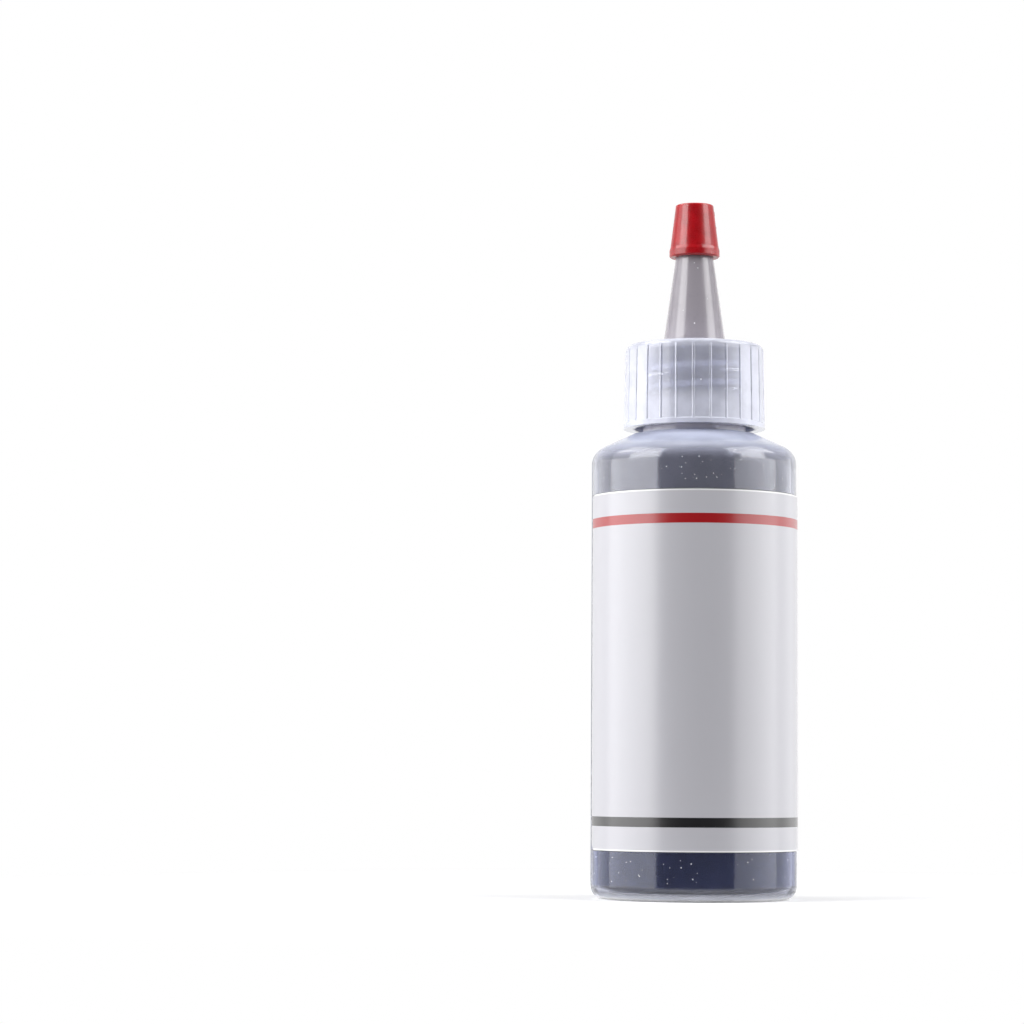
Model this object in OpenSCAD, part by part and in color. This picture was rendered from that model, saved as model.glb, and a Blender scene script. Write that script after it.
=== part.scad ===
// Squeeze bottle of graphite powder with a screw-on spout cap and a push-on tip cap
// Origin at the centre of the standing ring, +Z up the bottle's axis, front of the label towards -Y

/* [Bottle] */
// Outside diameter of the barrel
body_d = 34.5; // [32:0.1:40]
// Height at which the straight barrel ends and the shoulder begins
barrel_h = 73; // [70:0.5:90]
// Thickness of the blown wall
bottle_wall = 0.9; // [0.6:0.1:1.2]
// Outside radius of the rounded shoulder
shoulder_r = 3.2; // [2:0.1:4.5]
// Slope of the shoulder above its rounding, in degrees
shoulder_slope = 25; // [15:1:35]
// Width of the flat ledge round the neck's foot, where the shoulder ends
ledge_w = 1.8; // [1.5:0.1:3]
// Outside radius of the corner round the base
base_corner_r = 2.2; // [1.5:0.1:3]
// Width of the flat ring that the bottle stands on
stand_w = 2; // [1.5:0.1:3]
// Height of the push-up in the middle of the base
push_up_h = 1.6; // [1:0.1:2.2]
// Width of the slope from the standing ring up to the push-up
push_up_slope_w = 1.6; // [1:0.1:3]
// Thickness of the base
base_wall = 1.1; // [0.8:0.1:1.5]
// Length of the pinch-off scar across the push-up
scar_l = 15; // [8:1:20]
// Width of the pinch-off scar
scar_w = 1; // [0.6:0.1:1.5]
// Height of the pinch-off scar
scar_h = 0.35; // [0.2:0.05:0.6]

/* [Neck] */
// Outside diameter of the neck under its thread
neck_d = 17.4; // [17:0.1:18]
// Height of the neck from the ledge to the rim
neck_h = 13.7; // [13.2:0.1:15]
// Thickness of the neck's wall
neck_wall = 1.2; // [1:0.1:1.5]
// Height of the thread above the neck
thread_depth = 1.1; // [0.9:0.05:1.2]
// Rise of the thread in one turn
thread_pitch = 3.175; // [3.1:0.025:3.4]
// Number of turns of thread
thread_turns = 1.5; // [1:0.25:2]
// Distance from the rim down to the middle of the thread's upper end
thread_drop = 1.9; // [1.7:0.1:2.6]
// Width of the neck's thread at its foot
thread_foot_w = 1.9; // [1.6:0.1:2]
// Width of the neck's thread at its crest
thread_crest_w = 0.9; // [0.6:0.1:1]
// Direction in which the thread's upper end points, in degrees from +X
thread_end_angle = 0; // [0:5:355]

/* [Label] */
// Height of the label's lower edge
label_z = 8.2; // [4:0.1:12]
// Height of the label
label_h = 59.4; // [40:0.1:62]
// Thickness of the label film
label_t = 0.15; // [0.1:0.01:0.2]
// Thickness of the adhesive under the film
adhesive_t = 0.03; // [0.01:0.01:0.06]
// Angle that the label covers
label_wrap = 340; // [300:1:350]
// Direction of the middle of the clear strip between the label's ends, in degrees from +X
strip_angle = 179; // [90:1:270]
// Radius of the label's corners
label_corner_r = 1.6; // [1:0.1:3]

/* [Graphite powder] */
// Height of the powder's surface at the wall
fill_h = 62; // [20:1:66]
// Rise of the powder's surface towards the middle
fill_crown_h = 1.5; // [0.5:0.1:3]
// Gap between the powder and the wall
fill_gap = 0.03; // [0.02:0.01:0.1]

/* [Spout cap] */
// Height of the cap from the skirt's lower edge to the deck's top
cap_h = 14.2; // [14:0.1:14.8]
// Thickness of the skirt at the plain band round its lower edge
skirt_wall = 1.9; // [1.6:0.1:2.4]
// Height of the plain band
cap_band_h = 0.9; // [0.6:0.1:3]
// Depth of the step from the band to the skirt
cap_band_step = 0.15; // [0.1:0.05:0.3]
// Taper of the skirt on the radius, from the band up to the deck
skirt_taper = 0.2; // [0:0.05:0.3]
// Radius of the edge round the deck
deck_edge_r = 0.8; // [0.4:0.1:0.9]
// Thickness of the deck
deck_t = 0.9; // [0.8:0.1:1.2]
// Number of fine ribs round the skirt
rib_count = 26; // [12:1:36]
// Direction in which the first rib points, in degrees from +X
rib_angle = 266; // [250:1:280]
// Width of a rib
rib_w = 0.5; // [0.4:0.05:0.8]
// Height of a rib above the skirt
rib_proud = 0.12; // [0.08:0.01:0.14]
// Gap between the neck's thread and the inside of the skirt
skirt_gap = 0.3; // [0.25:0.05:0.4]
// Gap between the crest of the cap's thread and the neck
crest_gap = 0.3; // [0.2:0.05:0.4]
// Width of the cap's thread at its foot
cap_thread_foot_w = 1.6; // [1.4:0.1:1.7]
// Width of the cap's thread at its crest
cap_thread_crest_w = 0.7; // [0.5:0.1:0.8]
// Outside diameter of the spout at the deck
spout_foot_d = 10.7; // [10:0.1:12]
// Outside diameter of the spout's end
spout_end_d = 4.2; // [4:0.1:5]
// Height of the spout above the deck
spout_h = 22.9; // [18:0.1:30]
// Thickness of the spout's wall at the deck
spout_wall = 1.05; // [0.8:0.05:1.4]
// Radius of the fillet at the spout's foot
spout_fillet_r = 0.6; // [0.3:0.1:1]
// Diameter of the outlet at the spout's end
outlet_d = 1.8; // [1.2:0.1:2.2]
// Length of the straight outlet
outlet_l = 3; // [1.5:0.1:5]
// Radius of the edge round the spout's end
spout_edge_r = 0.25; // [0.1:0.05:0.4]

/* [Cap liner] */
// Thickness of the liner
liner_t = 0.6; // [0.5:0.1:0.8]
// Distance that the liner reaches in past the neck's bore
liner_reach = 1.5; // [0.5:0.1:2]
// Gap between the liner's rim and the skirt
liner_gap = 0.15; // [0.1:0.05:0.3]

/* [Tip cap] */
// Height of the tip cap
tip_h = 9; // [7:0.1:12]
// Thickness of the tip cap's wall
tip_wall = 1.1; // [0.8:0.05:1.4]
// Height of the bead round the tip cap's mouth
tip_bead_h = 1.7; // [1:0.1:2]
// Height of the bead above the tip cap's side
tip_bead_proud = 0.16; // [0.1:0.02:0.4]
// Height of the slope from the bead up to the tip cap's side
tip_bead_slope_h = 0.5; // [0.2:0.1:0.6]
// Thickness of the tip cap's closed end
tip_top_t = 1.1; // [0.8:0.1:1.5]
// Radius of the edge round the closed end
tip_edge_r = 0.25; // [0.15:0.05:0.6]
// Gap between the spout and the tip cap's taper
tip_gap = 0.05; // [0.03:0.01:0.08]
// Gap between the spout's end and the inside of the closed end
tip_end_gap = 0.2; // [0.1:0.05:0.4]

/* [Hidden] */

$fn = 96;
// Rings of points in one turn of a thread, and points in each ring
thread_steps_per_turn = 36;
section_points = 4;
// Share of a turn over which the thread fades at each end
fade_turns_share = 1 / 9;
// Chords in a rounded corner of the label
corner_chords = 8;
// Where the powder's surface bends, as shares of its radius and of its rise
crown_bend_r_share = 0.5;
crown_bend_h_share = 0.7;

// How far a cutting shape runs past the face that it cuts
overrun = 0.5;
// How far a ridge is sunk into the wall that carries it
root_sink = 0.3;
// How far a ridge's faded end lies under the wall's surface
fade_sink = 0.05;
// Width of the bevel under the bead of the tip cap
tip_bead_bevel = 0.2;

// Bottle, outside
body_r = body_d / 2;
neck_r = neck_d / 2;
ledge_r = neck_r + ledge_w;
thread_r = neck_r + thread_depth;
shoulder_turn = 90 - shoulder_slope;
shoulder_end_r = body_r - shoulder_r * (1 - cos(shoulder_turn));
shoulder_end_z = barrel_h + shoulder_r * sin(shoulder_turn);
ledge_z = shoulder_end_z + (shoulder_end_r - ledge_r) * tan(shoulder_slope);
rim_z = ledge_z + neck_h;
stand_outer_r = body_r - base_corner_r;
stand_inner_r = stand_outer_r - stand_w;
push_up_r = stand_inner_r - push_up_slope_w;

// Bottle, inside
cavity_r = body_r - bottle_wall;
neck_bore_r = neck_r - neck_wall;
shoulder_in_r = shoulder_r - bottle_wall;
shoulder_in_end_r = body_r - shoulder_r + shoulder_in_r * cos(shoulder_turn);
shoulder_in_end_z = barrel_h + shoulder_in_r * sin(shoulder_turn);
neck_mouth_z = ledge_z - bottle_wall;
corner_in_r = base_corner_r - bottle_wall;

// Thread, right-handed: it climbs as it goes round counter-clockwise seen from above
thread_top_z = rim_z - thread_drop;

// Cap
liner_z = rim_z;
deck_under_z = liner_z + liner_t;
deck_z = deck_under_z + deck_t;
skirt_z = deck_z - cap_h;
skirt_in_r = thread_r + skirt_gap;
cap_band_r = skirt_in_r + skirt_wall;
skirt_foot_r = cap_band_r - cap_band_step;
skirt_top_r = skirt_foot_r - skirt_taper;
skirt_foot_z = skirt_z + cap_band_h;
skirt_straight_h = deck_z - deck_edge_r - skirt_foot_z;
rib_r = (pow(rib_w / 2, 2) + pow(rib_proud, 2)) / (2 * rib_proud);
spout_foot_r = spout_foot_d / 2;
spout_end_r = spout_end_d / 2;
spout_end_z = deck_z + spout_h;
spout_slope = (spout_foot_r - spout_end_r) / spout_h;
spout_bore_r = spout_foot_r - spout_wall;
outlet_r = outlet_d / 2;
outlet_z = spout_end_z - outlet_l;

// Tip cap
tip_cavity_z = spout_end_z + tip_end_gap;
tip_top_z = tip_cavity_z + tip_top_t;
tip_z = tip_top_z - tip_h;
bead_top_z = tip_z + tip_bead_h;
tip_foot_r = tip_in_r_at(bead_top_z) + tip_wall;
tip_top_r = tip_in_r_at(tip_cavity_z) + tip_wall;
tip_bead_r = tip_foot_r + tip_bead_proud;

// Outside radius of the spout at a height
function spout_r_at(z) = spout_end_r + (spout_end_z - z) * spout_slope;

// Inside radius of the tip cap at a height, a gap wider than the spout
function tip_in_r_at(z) = spout_r_at(z) + tip_gap;

// Section of the bottle's outside, right of the axis
module bottle_outside_2d() {
    polygon([
        [0, push_up_h],
        [push_up_r, push_up_h],
        [stand_inner_r, 0],
        [stand_outer_r, 0],
        [body_r, base_corner_r],
        [body_r, barrel_h],
        [shoulder_end_r, shoulder_end_z],
        [ledge_r, ledge_z],
        [neck_r, ledge_z],
        [neck_r, rim_z],
        [0, rim_z]
    ]);
    translate([stand_outer_r, base_corner_r]) circle(r = base_corner_r);
    translate([body_r - shoulder_r, barrel_h]) circle(r = shoulder_r);
}

// Section of the bottle's cavity, right of the axis, open at the rim
module bottle_cavity_2d() {
    polygon([
        [0, push_up_h + base_wall],
        [push_up_r, push_up_h + base_wall],
        [stand_inner_r, base_wall],
        [stand_outer_r, base_wall],
        [cavity_r, base_wall + corner_in_r],
        [cavity_r, barrel_h],
        [shoulder_in_end_r, shoulder_in_end_z],
        [neck_bore_r, neck_mouth_z],
        [neck_bore_r, rim_z + overrun],
        [0, rim_z + overrun]
    ]);
    translate([stand_outer_r, base_wall + corner_in_r]) circle(r = corner_in_r);
    translate([body_r - shoulder_r, barrel_h]) circle(r = shoulder_in_r);
}

// One section of a thread ridge: foot, crest, crest, foot, with the crest faded to the wall at both ends
function ridge_section(foot_r, crest_r, foot_w, crest_w, into, fade) =
    let(low_r = foot_r + into * fade_sink, r = low_r + (crest_r - low_r) * fade, root_r = foot_r + into * root_sink)
    [[root_r, -foot_w / 2], [r, -crest_w / 2], [r, crest_w / 2], [root_r, foot_w / 2]];

// Right-hand helical ridge that ends at end_angle and top_z. into is -1 for a ridge on the outside of
// a wall and 1 for one on the inside.
module thread_ridge(foot_r, crest_r, foot_w, crest_w, into, top_z, end_angle) {
    steps = round(thread_turns * thread_steps_per_turn);
    fade_steps = fade_turns_share * thread_steps_per_turn;
    rings = [
        for (i = [0 : steps])
            let(
                turn = (i - steps) / thread_steps_per_turn,
                a = end_angle + 360 * turn,
                z = top_z + thread_pitch * turn,
                fade = min(1, i / fade_steps, (steps - i) / fade_steps)
            )
            [for (p = ridge_section(foot_r, crest_r, foot_w, crest_w, into, fade))
                [p[0] * cos(a), p[0] * sin(a), z + p[1]]]
    ];
    points = [for (ring = rings) for (p = ring) p];
    flip = into > 0;
    sides = [
        for (i = [0 : steps - 1])
            for (k = [0 : section_points - 1])
                let(
                    a = section_points * i + k,
                    b = section_points * i + (k + 1) % section_points,
                    c = a + section_points,
                    d = b + section_points
                )
                for (face = [[a, b, d], [a, d, c]])
                    flip ? [face[2], face[1], face[0]] : face
    ];
    last = section_points * steps;
    start_cap = [[0, 3, 2], [0, 2, 1]];
    end_cap = [[last, last + 1, last + 2], [last, last + 2, last + 3]];
    caps = [for (face = concat(start_cap, end_cap)) flip ? [face[2], face[1], face[0]] : face];
    polyhedron(points = points, faces = concat(sides, caps), convexity = 10);
}

module neck_thread() {
    thread_ridge(neck_r, thread_r, thread_foot_w, thread_crest_w, -1, thread_top_z, thread_end_angle);
}

// The cap's ridge lies half a pitch under the neck's
module cap_thread() {
    thread_ridge(
        skirt_in_r, neck_r + crest_gap, cap_thread_foot_w, cap_thread_crest_w, 1,
        thread_top_z - thread_pitch / 2, thread_end_angle
    );
}

// Blow-moulded bottle
module bottle() {
    color("lavender") {
        rotate_extrude() difference() {
            bottle_outside_2d();
            bottle_cavity_2d();
        }
        neck_thread();
        pinch_off_scar();
    }
}

// Raised line across the push-up, where the mould pinched the parison shut
module pinch_off_scar() {
    translate([-scar_l / 2, -scar_w / 2, push_up_h - scar_h])
        cube([scar_l, scar_w, scar_h + root_sink]);
}

// What is cut from a corner of the label, with the corner at the origin and its rounding in short chords.
// The first and last chords run on past the label's edges.
module corner_trim_2d() {
    arc = [
        for (i = [0 : corner_chords])
            let(a = 90 * i / corner_chords)
            label_corner_r * [1 - sin(a), 1 - cos(a)]
    ];
    before = 2 * arc[0] - arc[1];
    after = 2 * arc[corner_chords] - arc[corner_chords - 1];
    polygon(concat(
        [[-overrun, -overrun], [before[0], -overrun], before],
        arc,
        [after, [-overrun, after[1]]]
    ));
}

// Trims both corners of the label's end that stands at an angle. side is 1 where the label runs
// counter-clockwise from there and -1 where it runs clockwise.
module label_end_trim(angle, side) {
    rotate([0, 0, angle])
        translate([body_r + label_t + overrun, 0, label_z])
            rotate([90, 0, -90])
                for (upper = [0, 1])
                    translate([0, upper * label_h])
                        mirror([0, upper])
                            mirror([side > 0 ? 1 : 0, 0])
                                linear_extrude(label_t + adhesive_t + 2 * overrun) corner_trim_2d();
}

// Film label, wrapped round the barrel with its two ends short of each other
module label() {
    label_in_r = body_r + adhesive_t;
    start_angle = strip_angle + (360 - label_wrap) / 2;
    color("white")
        difference() {
            rotate([0, 0, start_angle])
                rotate_extrude(angle = label_wrap)
                    translate([label_in_r, label_z])
                        square([label_t, label_h]);
            label_end_trim(start_angle, 1);
            label_end_trim(start_angle + label_wrap, -1);
        }
}

// Section of the powder, right of the axis
module powder_2d() {
    r = cavity_r - fill_gap;
    floor_z = base_wall + fill_gap;
    corner_r = corner_in_r - fill_gap;
    polygon([
        [0, push_up_h + floor_z],
        [push_up_r, push_up_h + floor_z],
        [stand_inner_r, floor_z],
        [stand_outer_r, floor_z],
        [r, floor_z + corner_r],
        [r, fill_h],
        [r * crown_bend_r_share, fill_h + fill_crown_h * crown_bend_h_share],
        [0, fill_h + fill_crown_h]
    ]);
    translate([stand_outer_r, floor_z + corner_r]) circle(r = corner_r);
}

// Graphite powder, settled in the bottle
module graphite_powder() {
    color("dimgray") rotate_extrude() powder_2d();
}

// Washer between the neck's rim and the cap's deck
module cap_liner() {
    color("whitesmoke")
        translate([0, 0, liner_z])
            difference() {
                cylinder(r = skirt_in_r - liner_gap, h = liner_t);
                translate([0, 0, -overrun])
                    cylinder(r = neck_bore_r - liner_reach, h = liner_t + 2 * overrun);
            }
}

// Section of the cap's outside, right of the axis
module cap_outside_2d() {
    polygon([
        [0, skirt_z],
        [cap_band_r, skirt_z],
        [cap_band_r, skirt_foot_z - cap_band_step],
        [skirt_foot_r, skirt_foot_z],
        [skirt_top_r, deck_z - deck_edge_r],
        [skirt_top_r - deck_edge_r, deck_z],
        [spout_r_at(deck_z) + spout_fillet_r, deck_z],
        [spout_r_at(deck_z + spout_fillet_r), deck_z + spout_fillet_r],
        [spout_r_at(spout_end_z - spout_edge_r), spout_end_z - spout_edge_r],
        [spout_end_r - spout_edge_r, spout_end_z],
        [0, spout_end_z]
    ]);
    translate([skirt_top_r - deck_edge_r, deck_z - deck_edge_r]) circle(r = deck_edge_r);
}

// Section of the space inside the cap, right of the axis: skirt, spout and outlet
module cap_inside_2d() {
    polygon([
        [0, skirt_z - overrun],
        [skirt_in_r, skirt_z - overrun],
        [skirt_in_r, deck_under_z],
        [spout_bore_r, deck_under_z],
        [outlet_r, outlet_z],
        [outlet_r, spout_end_z + overrun],
        [0, spout_end_z + overrun]
    ]);
}

// Fine upright ribs round the skirt, each a thin rod sunk into it
module skirt_ribs() {
    lean = atan(skirt_taper / skirt_straight_h);
    for (i = [0 : rib_count - 1])
        rotate([0, 0, rib_angle + i * 360 / rib_count])
            translate([skirt_foot_r + rib_proud - rib_r, 0, skirt_foot_z - cap_band_step])
                rotate([0, -lean, 0])
                    cylinder(r = rib_r, h = skirt_straight_h + cap_band_step);
}

// Screw cap and spout in one moulding
module spout_cap() {
    color("ghostwhite") {
        difference() {
            union() {
                rotate_extrude() cap_outside_2d();
                skirt_ribs();
            }
            rotate_extrude() cap_inside_2d();
        }
        cap_thread();
    }
}

// Section of the tip cap's outside, right of the axis
module tip_outside_2d() {
    polygon([
        [0, tip_z],
        [tip_bead_r - tip_bead_bevel, tip_z],
        [tip_bead_r, tip_z + tip_bead_bevel],
        [tip_bead_r, bead_top_z - tip_bead_slope_h],
        [tip_foot_r, bead_top_z],
        [tip_top_r, tip_top_z - tip_edge_r],
        [tip_top_r - tip_edge_r, tip_top_z],
        [0, tip_top_z]
    ]);
    translate([tip_top_r - tip_edge_r, tip_top_z - tip_edge_r]) circle(r = tip_edge_r);
}

// Section of the tip cap's taper, right of the axis
module tip_inside_2d() {
    polygon([
        [0, tip_z - overrun],
        [tip_in_r_at(tip_z - overrun), tip_z - overrun],
        [tip_in_r_at(tip_cavity_z), tip_cavity_z],
        [0, tip_cavity_z]
    ]);
}

// Push-on cap for the spout's end
module tip_cap() {
    color("firebrick")
        rotate_extrude() difference() {
            tip_outside_2d();
            tip_inside_2d();
        }
}

bottle();
label();
graphite_powder();
cap_liner();
spout_cap();
tip_cap();
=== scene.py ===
"""Finishes, fine details and a studio for a squeeze bottle of graphite powder.

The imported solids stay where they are. This script gives each of them its plastic, film or powder,
adds the details that are too fine for them, and sets up the camera, the lamps and the floor. The
origin is the centre of the standing ring, +Z runs up the bottle and the front of the label looks
towards -Y.
"""

import math
import random

import bpy
from bpy.props import (
    FloatProperty,
    FloatVectorProperty,
    IntProperty,
    PointerProperty,
)
from mathutils import Matrix, Vector, noise


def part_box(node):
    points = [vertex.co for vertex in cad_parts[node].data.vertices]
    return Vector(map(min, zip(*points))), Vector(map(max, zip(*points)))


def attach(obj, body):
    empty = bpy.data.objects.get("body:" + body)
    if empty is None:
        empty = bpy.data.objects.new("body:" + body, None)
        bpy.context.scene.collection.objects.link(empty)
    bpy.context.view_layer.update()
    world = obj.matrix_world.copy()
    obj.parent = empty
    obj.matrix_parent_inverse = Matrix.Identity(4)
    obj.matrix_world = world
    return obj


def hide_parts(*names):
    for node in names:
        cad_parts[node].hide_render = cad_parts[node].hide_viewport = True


bl_info = {
    "name": "Graphite Powder Bottle",
    "version": (1, 0, 0),
    "blender": (4, 5, 0),
    "location": "3D View > Sidebar > Bottle",
    "description": "Finishes, fine details and a studio for a squeeze bottle of graphite powder",
    "category": "Object",
}

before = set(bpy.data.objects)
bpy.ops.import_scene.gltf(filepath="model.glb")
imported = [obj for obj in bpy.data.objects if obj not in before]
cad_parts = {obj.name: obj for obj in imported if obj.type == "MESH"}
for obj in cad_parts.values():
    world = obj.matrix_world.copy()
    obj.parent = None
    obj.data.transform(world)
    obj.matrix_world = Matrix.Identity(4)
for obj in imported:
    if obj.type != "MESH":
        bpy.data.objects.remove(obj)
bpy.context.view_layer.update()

MM = 0.001
TURN = 2 * math.pi

# What the solids measure, in metres, for the pieces that lie against them
BODY_R = 17.25 * MM
CAVITY_R = 16.35 * MM
CAVITY_FLOOR_Z = 1.1 * MM
PUSH_UP_H = 1.6 * MM
PUSH_UP_R = 11.45 * MM
STAND_INNER_R = 13.05 * MM
STAND_OUTER_R = 15.05 * MM
CORNER_OUT_R = 2.2 * MM
CORNER_IN_R = 1.3 * MM
BARREL_TOP_Z = 73 * MM
SHOULDER_OUT_R = 3.2 * MM
SHOULDER_IN_R = 2.3 * MM
SHOULDER_SLOPE = math.radians(25)
LEDGE_R = 10.5 * MM
LEDGE_Z = 78.186 * MM
NECK_R = 8.7 * MM
NECK_BORE_R = 7.5 * MM
NECK_MOUTH_Z = 77.286 * MM
RIM_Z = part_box("cap_liner")[0].z
LABEL_LOW_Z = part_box("label")[0].z
LABEL_HIGH_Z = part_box("label")[1].z
SKIRT_LOW_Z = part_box("spout_cap")[0].z
SPOUT_END_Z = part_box("spout_cap")[1].z
DECK_UNDER_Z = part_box("cap_liner")[1].z
DECK_T = 0.9 * MM
DECK_Z = DECK_UNDER_Z + DECK_T
SKIRT_IN_R = 10.1 * MM
SPOUT_BORE_R = 4.3 * MM
OUTLET_R = 0.9 * MM
OUTLET_L = 3 * MM
OUTLET_Z = SPOUT_END_Z - OUTLET_L

# Colours of single places, beside those in the settings
# Pale white of the bright specks, also painted as a highlight along the bottom of the base corner
CORNER_HIGHLIGHT_AND_SPECK_WHITE = (0.95, 0.95, 0.97)
# Painted shade: a darker, bluer tone of the plastic for the shoulder's slope, standing in for how
# light falls there
SLOPE_PAINTED_SHADE = (0.58, 0.615, 0.76)
# Painted light: near white for the neck in the gap under the cap, lifting it out of the cap's shade
GAP_PAINTED_LIGHT = (0.95, 0.92, 1.0)
THREAD_TINT = (0.88, 0.9, 1.0)
# Painted shade: a dark line on the wall just over and just under the label, where the film's edge
# shades it
LABEL_EDGE_SHADE = (0.05, 0.05, 0.06)
FILM_CLOUD = (0.6, 0.6, 0.64)
# Painted highlight: paler film along the label's upper and lower cut edges
FILM_EDGE_HIGHLIGHT = (0.97, 0.97, 0.98)
NECK_DUST = (0.18, 0.195, 0.3)
PALE_DUST = (0.45, 0.45, 0.5)
SPOUT_DUST = (0.13, 0.125, 0.14)
FOAM = (0.85, 0.85, 0.86)
FOAM_STAIN = (0.45, 0.45, 0.47)
SPECK_DULL = (0.75, 0.76, 0.82)
SPECK_BRIGHT = CORNER_HIGHLIGHT_AND_SPECK_WHITE

# The soft boxes stand in three rows, each from one height to another. A box has its directions,
# row, the setting that gives its brightness, its share of that, and its inner and upper values.
BOX_DISTANCE = 0.6
LOW_ROW, MIDDLE_ROW, HIGH_ROW = (-0.05, 0.22), (0.22, 0.45), (0.45, 0.95)
SOFT_BOXES = (
    ("left_box", (-44.6, -110.8), LOW_ROW, "left_box", 1, 1, 1.25),
    ("right_box", (41.8, 100), LOW_ROW, "right_box", 1, 0.45, 1.25),
    ("left_rear_box", (-110.8, -137), LOW_ROW, "left_box", 0.26, 1, 1.25),
    ("right_rear_box", (100, 137), LOW_ROW, "right_box", 0.33, 1, 1.25),
    ("left_upper_box", (-44, -82), MIDDLE_ROW, "upper_boxes", 1.06, 1, 1),
    ("right_upper_box", (52, 86), MIDDLE_ROW, "upper_boxes", 0.92, 1, 1),
    ("left_wing_box", (-82, -110.8), MIDDLE_ROW, "left_box", 0.5, 1, 1),
    ("right_wing_box", (86, 110), MIDDLE_ROW, "right_box", 0.2, 1, 1),
    ("left_high_box", (-44.6, -110.8), HIGH_ROW, "high_boxes", 1, 1, 1),
    ("right_high_box", (41.8, 110), HIGH_ROW, "high_boxes", 1, 1, 1),
)
TOP_BOX_SIZE = 0.5
TOP_BOX_HEIGHT = 0.75

# Grains of dust on the cap: direction in degrees, height, radius and size in millimetres
CAP_GRAINS = (
    (-88, 86.3, 11.9, 0.16),
    (-93, 96.7, 4.85, 0.13),
    (-80, 96.2, 4.9, 0.08),
    (-84, 106.3, 3.48, 0.13),
    (-94, 107.2, 3.36, 0.1),
    (-62, 101.0, 4.24, 0.08),
    (-118, 99.0, 4.53, 0.07),
    (40, 103.0, 3.96, 0.09),
    (130, 98.0, 4.67, 0.1),
)
# Nubs on the tip cap: direction in degrees, height and radius in millimetres, share of the size
TIP_NUBS = ((-4, 116.3, 3.3, 1.0), (-4, 115.9, 3.36, 0.8), (-4, 113.7, 3.65, 0.7))


class StudioSettings(bpy.types.PropertyGroup):
    camera_place: FloatVectorProperty(
        name="Camera place",
        description="Where the camera stands",
        default=(-0.03086, -0.5449, 0.0209),
        subtype="XYZ",
        unit="LENGTH",
    )
    camera_pitch: FloatProperty(
        name="Camera pitch",
        description="How far the camera looks up",
        default=math.radians(4.6226),
        subtype="ANGLE",
    )
    camera_roll: FloatProperty(
        name="Camera roll",
        description="How far the camera is turned about its line of sight",
        default=math.radians(0.33),
        subtype="ANGLE",
    )
    focal_length: FloatProperty(
        name="Focal length",
        description="Focal length of the camera's lens, in millimetres",
        default=113.48,
        min=20,
    )
    left_box: FloatProperty(
        name="Left soft box",
        description="Brightness of the soft box on the left, where 1 is white",
        default=1.85,
        min=0,
    )
    right_box: FloatProperty(
        name="Right soft box",
        description="Brightness of the soft box on the right, where 1 is white",
        default=1.85,
        min=0,
    )
    upper_boxes: FloatProperty(
        name="Upper soft boxes",
        description="Brightness of the two small soft boxes above the side ones, where 1 is white",
        default=4.3,
        min=0,
    )
    high_boxes: FloatProperty(
        name="High soft boxes",
        description="Brightness of the two soft boxes high up on both sides, where 1 is white",
        default=3.8,
        min=0,
    )
    top_box: FloatProperty(
        name="Top soft box",
        description="Brightness of the soft box overhead, where 1 is white",
        default=1.15,
        min=0,
    )
    fill: FloatProperty(
        name="Fill",
        description="Strength of the even light from all round",
        default=0.05,
        min=0,
    )
    floor_colour: FloatVectorProperty(
        name="Floor",
        description="Colour of the floor",
        default=(0.82, 0.82, 0.83),
        subtype="COLOR",
        min=0,
        max=1,
    )
    floor_lift: FloatProperty(
        name="Floor lift",
        description="Brightness that the floor has for the camera on top of its light",
        default=0.27,
        min=0,
    )
    floor_radius: FloatProperty(
        name="Floor radius",
        description="Distance at which the floor has faded into the backdrop",
        default=0.17,
        unit="LENGTH",
    )


class BottleSettings(bpy.types.PropertyGroup):
    plastic: FloatVectorProperty(
        name="Plastic",
        description="Colour of the milky plastic",
        default=(0.74, 0.76, 0.88),
        subtype="COLOR",
        min=0,
        max=1,
    )
    plastic_on_powder: FloatVectorProperty(
        name="Plastic on powder",
        description="Colour of the plastic where powder lies against it",
        default=(0.34, 0.38, 0.62),
        subtype="COLOR",
        min=0,
        max=1,
    )
    neck_plastic: FloatVectorProperty(
        name="Neck's plastic",
        description="Colour of the plastic of the neck",
        default=(0.4, 0.435, 0.63),
        subtype="COLOR",
        min=0,
        max=1,
    )
    barrel_milk: FloatProperty(
        name="Barrel milk",
        description="Share of light that the barrel's wall scatters",
        default=0.03,
        subtype="FACTOR",
        min=0,
        max=1,
    )
    shoulder_milk: FloatProperty(
        name="Shoulder milk",
        description="Share of light that the shoulder scatters where it ends at the neck",
        default=0.9,
        subtype="FACTOR",
        min=0,
        max=1,
    )
    neck_milk: FloatProperty(
        name="Neck milk",
        description="Share of light that the neck's wall scatters where it is seen square on",
        default=0.3,
        subtype="FACTOR",
        min=0,
        max=1,
    )
    thread_milk: FloatProperty(
        name="Thread milk",
        description="Share of light that the thick thread scatters",
        default=1.0,
        subtype="FACTOR",
        min=0,
        max=1,
    )
    seam_width: FloatProperty(
        name="Seam width",
        description="Width of the line where the mould's halves met",
        default=0.26 * MM,
        unit="LENGTH",
    )
    seam_height: FloatProperty(
        name="Seam height",
        description="Height of the line where the mould's halves met",
        default=0.07 * MM,
        unit="LENGTH",
    )
    specks: IntProperty(
        name="Specks",
        description="Number of pale specks and tiny bubbles in the wall",
        default=200,
        min=0,
    )
    front_specks: IntProperty(
        name="Front specks",
        description="Number of specks that lie close together in front, above the label",
        default=12,
        min=0,
    )


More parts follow.
